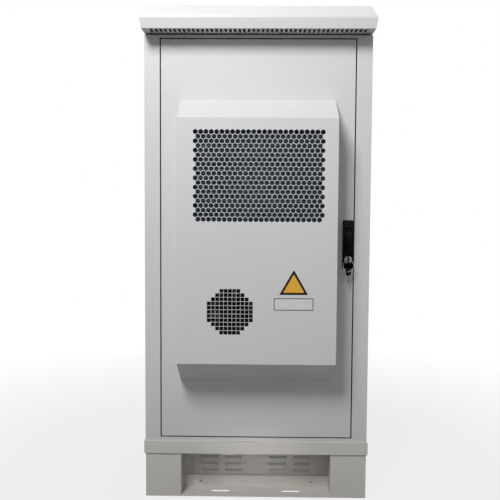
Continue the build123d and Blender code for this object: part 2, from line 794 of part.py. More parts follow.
def ac_inner_cover():
    """The cover inside the cabinet, with the fan's hole below and supply slots above."""
    x = INNER_W / 2
    box = block(-x, x, PARTITION_Y, INNER_BACK, INNER_LOW, INNER_HIGH)
    x -= INNER_T
    low, high = INNER_LOW + INNER_T, INNER_HIGH - INNER_T
    box -= block(-x, x, PARTITION_Y - 1, INNER_BACK - INNER_T, low, high)
    back = INNER_BACK - INNER_T - 1, INNER_BACK + 1
    box -= shaft_y(0, INNER_FAN_Z, FAN_R, *back)
    slot = Rectangle(SUPPLY_W, SUPPLY_H)
    for i in range(SUPPLY_COUNT):
        box -= along_y(Pos(0, INNER_HIGH - SUPPLY_DROP - i * SUPPLY_PITCH) * slot, *back)
    return box


def coil(width, depth, low, high, front, seat):
    """A finned coil: upright fins between two bars, in side plates that reach the seat."""
    half = width / 2
    back = front + depth
    core = half - COIL_PLATE
    body = block(-core, core, front, back, low, low + COIL_BAR)
    body += block(-core, core, front, back, high - COIL_BAR, high)
    pitch = 2 * core / (COIL_FINS + 1)
    y_low, y_high = min(front, seat), max(back, seat)
    for side in (-1, 1):
        body += block(*sorted((side * core, side * half)), y_low, y_high, low, high)
    for i in range(COIL_FINS):
        x = -core + (i + 1) * pitch
        body += block(x - FIN_T / 2, x + FIN_T / 2, front, back, low, high)
    return body


def compressor():
    """The sealed compressor on its foot plate, standing in the tray."""
    low = SLEEVE_LOW + SHEET
    foot_plate = Pos(COMPRESSOR_X, COMPRESSOR_Y) * Rectangle(COMPRESSOR_BASE, COMPRESSOR_BASE)
    base = along_z(foot_plate, low, low + COMPRESSOR_BASE_T)
    can = shaft_z(COMPRESSOR_X, COMPRESSOR_Y, COMPRESSOR_R, low, low + COMPRESSOR_H)
    can = chamfer(can.edges().group_by(Axis.Z)[-1], COMPRESSOR_DOME)
    return base + can


def fan_housing():
    """A moulded fan housing facing -Y, its flange at Y = 0: ring, spokes and motor hub."""
    flange = Rectangle(FAN_FLANGE, FAN_FLANGE) - Circle(FAN_R)
    housing = along_y(flange, 0, FAN_FLANGE_T)
    ring = Circle(FAN_R + FAN_WALL) - Circle(FAN_R)
    housing += along_y(ring, 0, FAN_DEPTH)
    spoke = Pos(0, (FAN_R + FAN_WALL / 2) / 2) * Rectangle(FAN_SPOKE_W, FAN_R + FAN_WALL / 2)
    for i in range(FAN_SPOKES):
        turned = Rot(0, 0, i * 360 / FAN_SPOKES) * spoke
        housing += along_y(turned, FAN_DEPTH - FAN_SPOKE_T, FAN_DEPTH)
    housing += shaft_y(0, 0, FAN_MOTOR_R, FAN_DEPTH - FAN_SPOKE_T, FAN_DEPTH + FAN_MOTOR_L)
    return housing - shaft_y(0, 0, FAN_SHAFT_R + PIN_CLEAR, FAN_DEPTH - FAN_SPOKE_T - 1,
                             FAN_DEPTH + FAN_SHAFT_L)


def fan_rotor():
    """The rotor for that housing: a hub with a shaft, and pitched blades."""
    hub = shaft_y(0, 0, FAN_HUB_R, FAN_SET_IN, FAN_SET_IN + FAN_HUB_L)
    hub += shaft_y(0, 0, FAN_SHAFT_R, FAN_SET_IN + FAN_HUB_L - 1, FAN_DEPTH + FAN_SHAFT_L - 2)
    tip = sqrt((FAN_R - FAN_TIP_CLEAR) ** 2 - (FAN_BLADE_CHORD / 2) ** 2)
    blade = Box(FAN_BLADE_CHORD, FAN_BLADE_T, tip, align=(Align.CENTER, Align.CENTER, Align.MIN))
    pitched = Rot(0, 0, FAN_BLADE_PITCH) * blade
    middle = Pos(0, FAN_SET_IN + FAN_HUB_L / 2, 0)
    return hub + [middle * Rot(0, i * 360 / FAN_BLADES, 0) * pitched for i in range(FAN_BLADES)]


def lock_plate():
    """The black plate of the door lock, with the raised collar of the key cylinder."""
    outline = Pos(LOCK_X, LOCK_Z) * Rectangle(LOCK_W, LOCK_H)
    plate = along_y(outline, FRONT - LOCK_T, FRONT)
    plate = chamfer(plate.faces().sort_by(Axis.Y)[0].edges(), LOCK_BEVEL)
    plate += shaft_y(LOCK_X, KEY_Z, CYLINDER_R, FRONT - LOCK_T - CYLINDER_OUT, FRONT)
    face = FRONT - LOCK_T - CYLINDER_OUT
    plate -= shaft_y(LOCK_X, KEY_Z, PLUG_R + PIN_CLEAR, face - 1, FRONT - PLUG_SHORT)
    return plate - shaft_y(LOCK_X, SPINDLE_Z, SPINDLE_R + PIN_CLEAR, FRONT - LOCK_T - 1, FRONT + 1)


def lock_case():
    """The lock's case inside the door, with sockets for the spindle and the two rods."""
    low, high = SPINDLE_Z - CASE_LOW, SPINDLE_Z + CASE_TOP
    y_low = FRONT + SHEET
    case = block(LOCK_X - CASE_W / 2, LOCK_X + CASE_W / 2, y_low, y_low + CASE_T, low, high)
    case -= shaft_y(LOCK_X, SPINDLE_Z, SPINDLE_R + PIN_CLEAR, y_low - 1, FRONT + SPINDLE_END + 1)
    return case - rod(ROD_CLEAR, high - ROD_BORE, high + 1) - rod(ROD_CLEAR, low - 1, low + ROD_BORE)


BOSS_BACK = FRONT - LOCK_T - BOSS_GAP
BOSS_FRONT = BOSS_BACK - BOSS_T
LIFT_Y = BOSS_BACK - LIFT_OUT


def handle_boss():
    """The turning boss: a disc on the spindle, with two ears and the pin for the lever."""
    boss = shaft_y(LOCK_X, SPINDLE_Z, BOSS_R, BOSS_FRONT, BOSS_BACK)
    boss += shaft_y(LOCK_X, SPINDLE_Z, SPINDLE_R, BOSS_BACK - 1, FRONT + SPINDLE_END)
    ear = Pos(LIFT_Y, SPINDLE_Z) * Circle(EAR_R) + rect(
        LIFT_Y, BOSS_FRONT + 1, SPINDLE_Z - EAR_R, SPINDLE_Z + EAR_R
    )
    ear &= rect(LIFT_Y - EAR_R, BOSS_FRONT + 1, SPINDLE_Z - EAR_R, SPINDLE_Z + EAR_R)
    inner = EAR_GAP / 2
    boss += along_x(ear, LOCK_X - inner - EAR_W, LOCK_X - inner)
    boss += along_x(ear, LOCK_X + inner, LOCK_X + inner + EAR_W)
    pin = Pos(LIFT_Y, SPINDLE_Z) * Circle(LIFT_PIN_R)
    return boss + along_x(pin, LOCK_X - inner - 1, LOCK_X + inner + 1)


def handle_lever():
    """The swing lever: a tapered grip hanging from a knuckle between the ears."""
    top = SPINDLE_Z - LEVER_TOP
    low = SPINDLE_Z - LEVER_L
    back = BOSS_BACK - LEVER_GAP + BOSS_GAP
    front = back - LEVER_T
    grip = rect(LOCK_X - LEVER_W / 2, LOCK_X + LEVER_W / 2, low, top)
    lever = along_y(grip, front, back)
    lever = fillet(lever.edges().filter_by(Axis.Y).group_by(Axis.Z)[0], LEVER_W / 2 - 1)
    lever = chamfer(lever.faces().sort_by(Axis.Y)[0].edges(), LOCK_BEVEL)
    half = EAR_GAP / 2 - KNUCKLE_CLEAR
    knuckle = Pos(LIFT_Y, SPINDLE_Z) * Circle(KNUCKLE_R)
    neck = rect(LIFT_Y - NECK_T / 2, LIFT_Y + NECK_T / 2, top - 2, SPINDLE_Z)
    lever += along_x(knuckle + neck, LOCK_X - half, LOCK_X + half)
    bore = Pos(LIFT_Y, SPINDLE_Z) * Circle(LIFT_PIN_R + PIN_CLEAR)
    return lever - along_x(bore, LOCK_X - half - 1, LOCK_X + half + 1)


BOW_BACK = FRONT - LOCK_T - CYLINDER_OUT - BOW_GAP
BOW_Y = BOW_BACK - BOW_W / 2
WIRE_SAG = BOW_HOLE_R - WIRE_R * sqrt(2) - WIRE_SLACK


def key_bow(y, z):
    """A key's flat grip, seen from its side, with the hole for a ring."""
    grip = Rectangle(BOW_W, BOW_H)
    outline = chamfer(grip.vertices(), BOW_CORNER) - Circle(BOW_HOLE_R)
    return along_x(Pos(y, z) * outline, LOCK_X - BOW_T / 2, LOCK_X + BOW_T / 2)


def door_key():
    """The cylinder's plug with the key in it."""
    face = FRONT - LOCK_T - CYLINDER_OUT
    key = shaft_y(LOCK_X, KEY_Z, PLUG_R, face - 1, FRONT - PLUG_SHORT - 1)
    key += key_bow(BOW_Y, KEY_Z)
    shank = rect(BOW_BACK - 3, face, KEY_Z - BLADE_W / 2, KEY_Z + BLADE_W / 2)
    return key + along_x(shank, LOCK_X - BLADE_T / 2, LOCK_X + BLADE_T / 2)


RING_Z = KEY_Z - WIRE_SAG - RING_R
SPARE_Z = RING_Z - RING_R - WIRE_SAG


def key_ring():
    """The flat wire ring through both keys."""
    hoop = Circle(RING_R + WIRE_R) - Circle(RING_R - WIRE_R)
    return along_y(Pos(LOCK_X, RING_Z) * hoop, BOW_Y - WIRE_R, BOW_Y + WIRE_R)


def spare_key():
    """The second key, hanging from the ring."""
    blade = rect(
        BOW_Y - BLADE_W / 2, BOW_Y + BLADE_W / 2, SPARE_Z - BOW_H / 2 - BLADE_L, SPARE_Z - BOW_H / 2 + 2
    )
    return key_bow(BOW_Y, SPARE_Z) + along_x(blade, LOCK_X - BLADE_T / 2, LOCK_X + BLADE_T / 2)


def lock_rods():
    """The upper and lower rods, drawn back just inside the door's edges."""
    case_high, case_low = SPINDLE_Z + CASE_TOP, SPINDLE_Z - CASE_LOW
    top = rod(0, case_high - ROD_IN, DOOR_HIGH - ROD_SHORT)
    return top, rod(0, DOOR_LOW + ROD_SHORT, case_low + ROD_IN)


def parts():
    """Every piece of the cabinet, by name."""
    left_foot = foot()
    left_side_plinth = side_plinth_panel()
    left_post = front_post()
    left_wall = side_panel()
    front_rack_rail = rack_rail(RAIL_FRONT_Y, 1)
    rear_rack_rail = rack_rail(RAIL_REAR_Y, -1)
    top_rod, bottom_rod = lock_rods()
    housing = fan_housing()
    rotor = fan_rotor()
    outer_fan = Pos(ROUND_X, COVER_FRONT + SHEET, ROUND_Z)
    inner_fan = Pos(0, INNER_BACK - INNER_T, INNER_FAN_Z) * Rot(0, 0, 180)
    return {
        "foot_front_left": left_foot,
        "foot_front_right": mirrored_x(left_foot),
        "foot_rear_left": mirrored_y(left_foot),
        "foot_rear_right": mirrored_x(mirrored_y(left_foot)),
        "base_angle_front": base_angle(),
        "base_angle_rear": mirrored_y(base_angle()),
        "plinth_panel_front": plinth_panel(True),
        "plinth_panel_rear": mirrored_y(plinth_panel(False)),
        "plinth_panel_left": left_side_plinth,
        "plinth_panel_right": mirrored_x(left_side_plinth),
        "vent_plate_left": vent_plate(-VENT_X),
        "vent_plate_right": vent_plate(VENT_X),
        "base_frame": base_frame(),
        "floor_panel": floor_panel(),
        "gland_plate": gland_plate(),
        "cable_glands": Compound(children=[cable_gland(x) for x in gland_places()]),
        "front_post_left": left_post,
        "front_post_right": mirrored_x(left_post),
        "front_top_rail": front_rail(OPEN_HIGH, BODY_TOP, 1),
        "front_bottom_rail": front_rail(OPEN_LOW, BODY_LOW, -1),
        "side_panel_left": left_wall,
        "side_panel_right": mirrored_x(left_wall),
        "rear_panel": rear_panel(),
        "roof_panel": roof_panel(),
        "canopy_hood": canopy_hood(),
        "canopy_soffit": canopy_soffit(),
        "canopy_bearers": Compound(children=[canopy_bearer(y) for y in (-BEARER_Y, BEARER_Y)]),
        "rail_bearers": rail_bearers(),
        "rack_rail_front_left": front_rack_rail,
        "rack_rail_front_right": mirrored_x(front_rack_rail),
        "rack_rail_rear_left": rear_rack_rail,
        "rack_rail_rear_right": mirrored_x(rear_rack_rail),
        "equipment_shelf": equipment_shelf(),
        "ground_bar": ground_bar(),
        "ground_standoffs": ground_standoffs(),
        "door_gasket": door_gasket(),
        "hinge_pins": hinge_pins(),
        "door_panel": door_panel(),
        "hinge_brackets": hinge_brackets(),
        "ac_cover": ac_cover(),
        "ac_chassis": ac_chassis(),
        "ac_inner_cover": ac_inner_cover(),
        "condenser_coil": coil(
            CONDENSER_W, CONDENSER_DEPTH, HEX_LOW - 5, HEX_HIGH + 5,
            COVER_FRONT + SHEET + CONDENSER_SET_BACK, FRONT - SHEET,
        ),
        "evaporator_coil": coil(
            EVAPORATOR_W, EVAPORATOR_DEPTH, EVAPORATOR_Z - EVAPORATOR_H / 2,
            EVAPORATOR_Z + EVAPORATOR_H / 2, PARTITION_Y + EVAPORATOR_FOOT, PARTITION_Y,
        ),
        "compressor": compressor(),
        "condenser_fan_housing": outer_fan * housing,
        "condenser_fan": outer_fan * rotor,
        "evaporator_fan_housing": inner_fan * housing,
        "evaporator_fan": inner_fan * rotor,
        "lock_plate": lock_plate(),
        "lock_case": lock_case(),
        "lock_rod_top": top_rod,
        "lock_rod_bottom": bottom_rod,
        "handle_boss": handle_boss(),
        "handle_lever": handle_lever(),
        "door_key": door_key(),
        "key_ring": key_ring(),
        "spare_key": spare_key(),
    }


os.makedirs("parts", exist_ok=True)
for name, shape in parts().items():
    export_step(shape, f"parts/{name}.step")
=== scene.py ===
from math import cos, pi, radians, sin, sqrt, tan

import bmesh
import bpy
from mathutils import Matrix, Vector


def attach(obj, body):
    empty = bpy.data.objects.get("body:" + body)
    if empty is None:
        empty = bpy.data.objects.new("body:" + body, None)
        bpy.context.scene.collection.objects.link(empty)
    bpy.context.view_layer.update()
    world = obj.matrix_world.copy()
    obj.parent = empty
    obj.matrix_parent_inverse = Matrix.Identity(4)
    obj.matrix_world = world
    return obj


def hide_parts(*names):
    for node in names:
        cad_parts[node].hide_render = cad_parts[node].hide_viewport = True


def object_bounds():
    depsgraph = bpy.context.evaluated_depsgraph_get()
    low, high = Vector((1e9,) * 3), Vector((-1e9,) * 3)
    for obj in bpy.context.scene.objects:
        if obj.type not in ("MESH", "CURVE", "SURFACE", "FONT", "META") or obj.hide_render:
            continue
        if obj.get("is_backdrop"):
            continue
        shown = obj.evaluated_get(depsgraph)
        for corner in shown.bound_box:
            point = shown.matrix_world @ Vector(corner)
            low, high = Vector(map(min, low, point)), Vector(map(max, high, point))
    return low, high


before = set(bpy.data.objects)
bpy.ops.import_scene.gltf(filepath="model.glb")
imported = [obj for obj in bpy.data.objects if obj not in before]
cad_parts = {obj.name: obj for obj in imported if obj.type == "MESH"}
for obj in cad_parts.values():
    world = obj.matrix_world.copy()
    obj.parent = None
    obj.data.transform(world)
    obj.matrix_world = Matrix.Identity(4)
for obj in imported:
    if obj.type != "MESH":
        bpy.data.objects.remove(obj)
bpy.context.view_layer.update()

# Plinth: four corner boxes of folded steel with an angle between each pair and recessed closing
# panels. All the outer steel is welded or folded, then sprayed with light grey powder and baked,
# which leaves a matt skin with a fine orange peel and softens every fold.
PAINT = (0.66, 0.655, 0.665, 1.0)
# The second colour is a darker, warmer tone that the paint fades to towards the floor.
PAINT_LOW = (0.53, 0.505, 0.455, 1.0)
LOW_FADE_TOP = 0.5
LOW_SHARE = 0.7
PATCH_SHARE = 0.3
PATCH_SCALE = 2.3
SHEEN_SCALE = 9.0
SHEEN = 0.38
SHEEN_SPAN = 0.12
PEEL_SCALE = 620.0
PEEL_DEPTH = 0.00003
FOLD_RADIUS = 0.0012
FOLD_SAMPLES = 6


class Value:
    """A shader output that can be added, taken away and multiplied."""

    def __init__(self, nodes, socket):
        self.nodes = nodes
        self.socket = socket

    def maths(self, operation, one, two):
        return self.nodes.node("ShaderNodeMath", {"operation": operation}, {0: one, 1: two})

    def __add__(self, other):
        return self.maths("ADD", self, other)

    def __mul__(self, other):
        return self.maths("MULTIPLY", self, other)

    def __sub__(self, other):
        return self.maths("SUBTRACT", self, other)

    def __rsub__(self, other):
        return self.maths("SUBTRACT", other, self)

    __radd__ = __add__
    __rmul__ = __mul__


class Nodes:
    """A node tree, with the one way to add to it."""

    def __init__(self, tree):
        self.tree = tree

    def node(self, kind, settings=None, sockets=None, output=0):
        """Make a node, set it up, give its sockets values or links, and return one output."""
        made = self.tree.nodes.new(kind)
        for key, value in (settings or {}).items():
            setattr(made, key, value)
        for key, value in (sockets or {}).items():
            if isinstance(value, Value):
                self.tree.links.new(value.socket, made.inputs[key])
            else:
                made.inputs[key].default_value = value
        return Value(self, made.outputs[output])


class Finish(Nodes):
    """One surface finish: a material, and the nodes that feed its shader."""

    def __init__(self, name, **plain):
        self.material = bpy.data.materials.new(name)
        self.material.use_nodes = True
        super().__init__(self.material.node_tree)
        self.shader = self.tree.nodes["Principled BSDF"]
        for socket, value in plain.items():
            self.shader.inputs[socket.replace("_", " ")].default_value = value
        self.place = self.node("ShaderNodeTexCoord", output="Object")

    def feed(self, name, value):
        """Link a value to a socket of the shader."""
        self.tree.links.new(value.socket, self.shader.inputs[name])

    def noise(self, scale, detail=2.0):
        """Soft noise over the surface, from 0 to 1."""
        sockets = {"Vector": self.place, "Scale": scale, "Detail": detail}
        return self.node("ShaderNodeTexNoise", {}, sockets)

    def fade(self, value, start, end):
        """0 at start and 1 at end."""
        sockets = {"Value": value, "From Min": start, "From Max": end}
        return self.node("ShaderNodeMapRange", {}, sockets)

    def blend(self, amount, one, two):
        """A colour between two others."""
        return self.node("ShaderNodeMix", {"data_type": "RGBA"}, {0: amount, 6: one, 7: two}, 2)

    def relief(self, height, depth, fold=0.0):
        """Bump of a depth in metres, over edges rounded by fold."""
        sockets = {"Height": height, "Distance": depth}
        if fold:
            settings = {"samples": FOLD_SAMPLES}
            sockets["Normal"] = self.node("ShaderNodeBevel", settings, {"Radius": fold})
        self.feed("Normal", self.node("ShaderNodeBump", {}, sockets))


def coat(material, *names):
    """Give CAD nodes a finish."""
    for name in names:
        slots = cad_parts[name].data.materials
        slots.clear()
        slots.append(material)


powder = Finish("grey_powder_coat")
height = powder.node("ShaderNodeSeparateXYZ", {}, {"Vector": powder.place}, "Z")
patches = powder.noise(PATCH_SCALE, 3.0) - 0.5
# Darker and warmer towards the floor, fading in below half a metre, with random patches of tone on top.
low_tone_and_patches = powder.fade(height, LOW_FADE_TOP, 0.0) * LOW_SHARE + patches * PATCH_SHARE
powder.feed("Base Color", powder.blend(low_tone_and_patches, PAINT, PAINT_LOW))
powder.feed("Roughness", powder.noise(SHEEN_SCALE, 3.0) * SHEEN_SPAN + SHEEN)
powder.relief(powder.noise(PEEL_SCALE), PEEL_DEPTH, FOLD_RADIUS)
grey = powder.material
coat(grey, "foot_front_left", "foot_front_right", "foot_rear_left", "foot_rear_right")
coat(grey, "base_angle_front", "base_angle_rear", "plinth_panel_front", "plinth_panel_rear")
coat(grey, "plinth_panel_left", "plinth_panel_right")

# Vent plates: two plates pressed with louvres and sprayed with the rest, each held by a pan head
# screw at either end. The screws are zinc plated, with a cross recess.
SCREW_PLACES = [(-205, 83), (-38, 83), (38, 83), (205, 83)]
SCREW_SEAT = -284.5
SCREW_R = 4.2
SCREW_TOP_R = 3.0
SCREW_EDGE = 0.5
SCREW_H = 1.9
SCREW_STEPS = 24
CROSS_LONG = 1.9
CROSS_WIDE = 0.45
CROSS_DEEP = 1.1
ZINC_DARK = (0.5, 0.51, 0.52, 1.0)
ZINC_PALE = (0.66, 0.67, 0.68, 1.0)
SPANGLE_SCALE = 90.0
MILLIMETRE = 0.001
LEAST_R = 0.2
SHARP_ANGLE = radians(32)
coat(grey, "vent_plate_left", "vent_plate_right")


def facing(a, b, depth):
    """A point of a front view (X, Z), at a depth along Y."""
    return (a, depth, b)


def sideways(a, b, depth):
    """A point of a side view (Y, Z), at a depth along X."""
    return (depth, a, b)


def flat(a, b, depth):
    """A point of a plan (X, Y), at a height."""
    return (a, b, depth)


def circle(a, b, radius, steps, start=0.0):
    """Points round a circle."""
    turns = [start + 2 * pi * i / steps for i in range(steps)]
    return [(a + radius * cos(t), b + radius * sin(t)) for t in turns]


def bar(a_low, a_high, b_low, b_high):
    """The corners of a rectangle."""
    return [(a_low, b_low), (a_high, b_low), (a_high, b_high), (a_low, b_high)]


def rounded(a_low, a_high, b_low, b_high, radius, steps=5):
    """A rectangle with round corners."""
    points = []
    corners = [(a_high, b_low, -90), (a_high, b_high, 0), (a_low, b_high, 90), (a_low, b_low, 180)]
    for a, b, start in corners:
        a += radius if a == a_low else -radius
        b += radius if b == b_low else -radius
        for i in range(steps + 1):
            turn = radians(start + 90 * i / steps)
            points.append((a + radius * cos(turn), b + radius * sin(turn)))
    return points


class Shape:
    """A mesh drawn in millimetres in the cabinet's frame, then made into a piece."""

    def __init__(self):
        self.mesh = bmesh.new()

    def loop(self, points):
        """Corners of a closed outline."""
        return [self.mesh.verts.new(point) for point in points]

    def skin(self, one, two):
        """A band of faces between two loops of the same length."""
        for i in range(len(one)):
            j = (i + 1) % len(one)
            self.mesh.faces.new((one[i], one[j], two[j], two[i]))

    def fill(self, *loops):
        """One flat face inside the first loop, open inside the others."""
        edges = []
        for loop in loops:
            for i in range(len(loop)):
                pair = (loop[i], loop[(i + 1) % len(loop)])
                edges.append(self.mesh.edges.get(pair) or self.mesh.edges.new(pair))
        bmesh.ops.triangle_fill(self.mesh, edges=edges, use_beauty=True)

    def stack(self, rings, closed=False):
        """Skin a row of loops, with a face on each end unless they close on each other."""
        loops = [self.loop(ring) for ring in rings]
        for one, two in zip(loops, loops[1:]):
            self.skin(one, two)
        if closed:
            self.skin(loops[-1], loops[0])
        else:
            self.mesh.faces.new(loops[0])
            self.mesh.faces.new(loops[-1])
        return loops

    def prism(self, view, outline, near, far):
        """An outline pushed from near to far."""
        self.stack([[view(a, b, depth) for a, b in outline] for depth in (near, far)])

    def panel(self, view, edges, radius, levels):
        """A round cornered plate whose edge is drawn in by an amount at each depth."""
        a_low, a_high, b_low, b_high = edges
        rings = []
        for depth, inset in levels:
            box = (a_low + inset, a_high - inset, b_low + inset, b_high - inset)
            rings.append([view(a, b, depth) for a, b in rounded(*box, max(radius - inset, LEAST_R))])
        self.stack(rings)

    def pierced(self, view, outline, hole, near, far):
        """An outline with one hole, pushed from near to far."""
        outside = [self.loop([view(a, b, depth) for a, b in outline]) for depth in (near, far)]
        inside = [self.loop([view(a, b, depth) for a, b in hole]) for depth in (near, far)]
        self.skin(*outside)
        self.skin(*inside)
        for i in range(2):
            self.fill(outside[i], inside[i])

    def turned(self, view, a, b, profile, steps=32):
        """A profile of (radius, depth) turned about an axis through (a, b)."""
        rings = []
        for radius, depth in profile:
            rings.append([view(p, q, depth) for p, q in circle(a, b, radius, steps)])
        self.stack(rings)

    def tube(self, path, radius, steps=10, closed=False):
        """A round wire along a path of points."""
        path = [Vector(point) for point in path]
        turns = [2 * pi * k / steps for k in range(steps)]
        rings = []
        side = None
        for i, point in enumerate(path):
            after = path[(i + 1) % len(path)] if closed or i + 1 < len(path) else point
            before = path[i - 1] if closed or i else point
            along = (after - before).normalized()
            if side is None:
                side = along.orthogonal()
            side = (side - along * side.dot(along)).normalized()
            across = along.cross(side)
            rings.append([point + radius * (side * cos(t) + across * sin(t)) for t in turns])
        self.stack(rings, closed)

    def piece(self, name, body, material, slot, *replaced):
        """Make the piece, hang it on its body, and hide the CAD nodes it takes the place of."""
        bmesh.ops.recalc_face_normals(self.mesh, faces=self.mesh.faces)
        bmesh.ops.scale(self.mesh, vec=(MILLIMETRE,) * 3, verts=self.mesh.verts)
        data = bpy.data.meshes.new(name)
        self.mesh.to_mesh(data)
        self.mesh.free()
        data.shade_smooth()
        data.set_sharp_from_angle(angle=SHARP_ANGLE)
        data.materials.append(material)
        made = bpy.data.objects.new(name, data)
        bpy.context.scene.collection.objects.link(made)
        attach(made, body)
        if replaced:
            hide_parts(*replaced)
        return made


plated = Finish("zinc_plate", Metallic=1.0)
sockets = {"Vector": plated.place, "Scale": SPANGLE_SCALE}
spangle = plated.node("ShaderNodeTexVoronoi", {}, sockets, "Color")
grain = plated.node("ShaderNodeSeparateColor", {}, {"Color": spangle}, "Red")
plated.feed("Base Color", plated.blend(grain, ZINC_DARK, ZINC_PALE))
plated.feed("Roughness", grain * 0.15 + 0.3)
plated.relief(plated.noise(900.0), 0.00001, 0.0005)
zinc = plated.material

for count, (x, z) in enumerate(SCREW_PLACES):
    screw = Shape()
    top = SCREW_SEAT - SCREW_H
    loops = []
    for radius, depth in ((SCREW_R, SCREW_SEAT), (SCREW_R, SCREW_SEAT - SCREW_EDGE), (SCREW_TOP_R, top)):
        edge = circle(x, z, radius, SCREW_STEPS)
        loops.append(screw.loop([facing(a, b, depth) for a, b in edge]))
    screw.skin(loops[0], loops[1])
    screw.skin(loops[1], loops[2])
    arm = [(CROSS_LONG, -CROSS_WIDE), (CROSS_LONG, CROSS_WIDE), (CROSS_WIDE, CROSS_WIDE)]
    cross = []
    for c, s in ((1, 0), (0, 1), (-1, 0), (0, -1)):
        cross += [(x + a * c - b * s, z + a * s + b * c) for a, b in arm]
    rim = screw.loop([facing(a, b, top) for a, b in cross])
    foot = screw.loop([facing(a, b, top + CROSS_DEEP) for a, b in cross])
    screw.fill(loops[2], rim)
    screw.skin(rim, foot)
    screw.mesh.faces.new(foot)
    screw.mesh.faces.new(loops[0])
    screw.piece(f"vent_screw_{count}", "cabinet", zinc, "zinc_sheet")

# Body: the base frame, posts, rails and walls are folded sheet, welded at the corners and sprayed.
# The floor and the rails inside are plain zinc coated sheet, bolted in after spraying.
coat(grey, "base_frame", "front_post_left", "front_post_right", "front_top_rail")
coat(grey, "front_bottom_rail", "side_panel_left", "side_panel_right", "rear_panel", "roof_panel")
coat(zinc, "floor_panel", "rail_bearers", "rack_rail_front_left", "rack_rail_front_right")
coat(zinc, "rack_rail_rear_left", "rack_rail_rear_right", "equipment_shelf", "gland_plate")
coat(zinc, "canopy_bearers")

# Floor fittings: the glands are moulded black polyamide, the earth bar is drawn copper, dulled by
# handling, and it stands on two cast resin posts.
MOULDED_DARK = (0.004, 0.004, 0.004, 1.0)
MOULDED_PALE = (0.008, 0.008, 0.008, 1.0)
RESIN_DARK = (0.35, 0.04, 0.02, 1.0)
RESIN_PALE = (0.42, 0.06, 0.03, 1.0)
COPPER_BRIGHT = (0.86, 0.42, 0.25, 1.0)
COPPER_DULL = (0.5, 0.25, 0.15, 1.0)
moulded = Finish("black_polyamide", Roughness=0.42, Specular_IOR_Level=0.12)
moulded.feed("Base Color", moulded.blend(moulded.noise(30.0), MOULDED_DARK, MOULDED_PALE))
moulded.relief(moulded.noise(1500.0), 0.00002, 0.0006)
black_plastic = moulded.material
resin = Finish("standoff_resin", Roughness=0.4)
resin.feed("Base Color", resin.blend(resin.noise(40.0), RESIN_DARK, RESIN_PALE))
drawn = Finish("drawn_copper", Metallic=1.0)
dull = drawn.noise(60.0, 4.0)
drawn.feed("Base Color", drawn.blend(dull, COPPER_BRIGHT, COPPER_DULL))
drawn.feed("Roughness", dull * 0.3 + 0.2)
copper = drawn.material
coat(black_plastic, "cable_glands")
coat(resin.material, "ground_standoffs")
coat(copper, "ground_bar")

# Rain hood: one sheet folded over the body on all four sides, with round folds and a hem turned in
# at its lower edge, sprayed with the rest. A soffit strip pierced with air slits closes it below.
HOOD_LOW = 1554.0
HOOD_FOLD = 1590.0
HOOD_TOP = 1629.0
HOOD_HALF = 373.5
HOOD_FRONT = -445.5
HOOD_OUT = 5.5
HOOD_IN = -14.5
HOOD_T = 2.0
HOOD_LID = 10.0
HOOD_REACH = 40.0
HEM = 8.0
FOLD_R = 16.0
TOP_R = 7.0
coat(grey, "canopy_soffit")


def fillet(one, fold, two, radius, steps=6):
    """Points of an arc that rounds the fold of a bent line."""
    fold = Vector(fold)
    ways = [(Vector(end) - fold).normalized() for end in (one, two)]
    half = ways[0].angle(ways[1]) / 2
    centre = fold + (ways[0] + ways[1]).normalized() * radius / sin(half)
    start, end = (fold + way * radius / tan(half) - centre for way in ways)
    swing = start.angle(end)
    points = []
    for i in range(steps + 1):
        spoke = start * sin(swing * (1 - i / steps)) + end * sin(swing * i / steps)
        points.append(centre + spoke / sin(swing))
    return points


def hood_ring(out, z):
    """The hood's plan at a height, out from its lower edge."""
    half = HOOD_HALF + out
    return [flat(a, b, z) for a, b in bar(-half, half, HOOD_FRONT - out, half)]


outer = [Vector((0.0, HOOD_LOW))]
outer += fillet((0.0, HOOD_LOW), (HOOD_OUT, HOOD_FOLD), (HOOD_IN, HOOD_TOP), FOLD_R)
outer += fillet((HOOD_OUT, HOOD_FOLD), (HOOD_IN, HOOD_TOP), (HOOD_IN - HOOD_REACH, HOOD_TOP), TOP_R)
hood = Shape()
under = [(HOOD_IN - HOOD_LID, HOOD_TOP - HOOD_T), (HOOD_OUT - HOOD_T, HOOD_FOLD)]
under += [(-HOOD_T, HOOD_LOW + HOOD_T), (-HEM, HOOD_LOW + HOOD_T), (-HEM, HOOD_LOW)]
hood.stack([hood_ring(out, z) for out, z in under] + [hood_ring(out, z) for out, z in outer])
hood.piece("hood_sheet", "cabinet", grey, "powder_coat", "canopy_hood")

# Door: a pan folded from steel sheet that turns on two steel pins in brackets inside its left corners. It
# closes on a strip of black foamed rubber. A thin black strip just behind the door face fills the gap round
# it: painted shade, a dark sheet where there is only the gap's shadow.
RUBBER_DARK = (0.006, 0.006, 0.006, 1.0)
RUBBER_PALE = (0.012, 0.012, 0.012, 1.0)
sponge = Finish("seal_rubber", Roughness=0.85, Specular_IOR_Level=0.15)
sponge.feed("Base Color", sponge.blend(sponge.noise(200.0), RUBBER_DARK, RUBBER_PALE))
sponge.relief(sponge.noise(1200.0), 0.0001)
coat(grey, "door_panel")
coat(sponge.material, "door_gasket")
SEAL_OUT = (-323.7, 323.7, 206.3, 1540.2)
SEAL_IN = (-300.0, 300.0, 230.0, 1516.0)
# The second ring is painted shade: a thin black strip in the gap round the door, standing in for the shadow
# there.
GAP_SHADE_OUT = (-323.95, 323.95, 206.05, 1540.45)
GAP_SHADE_IN = (-322.6, 322.6, 207.4, 1539.1)
SEAL_DEPTHS = (-349.0, -347.1)
GAP_SHADE_DEPTHS = (-373.5, -368.0)
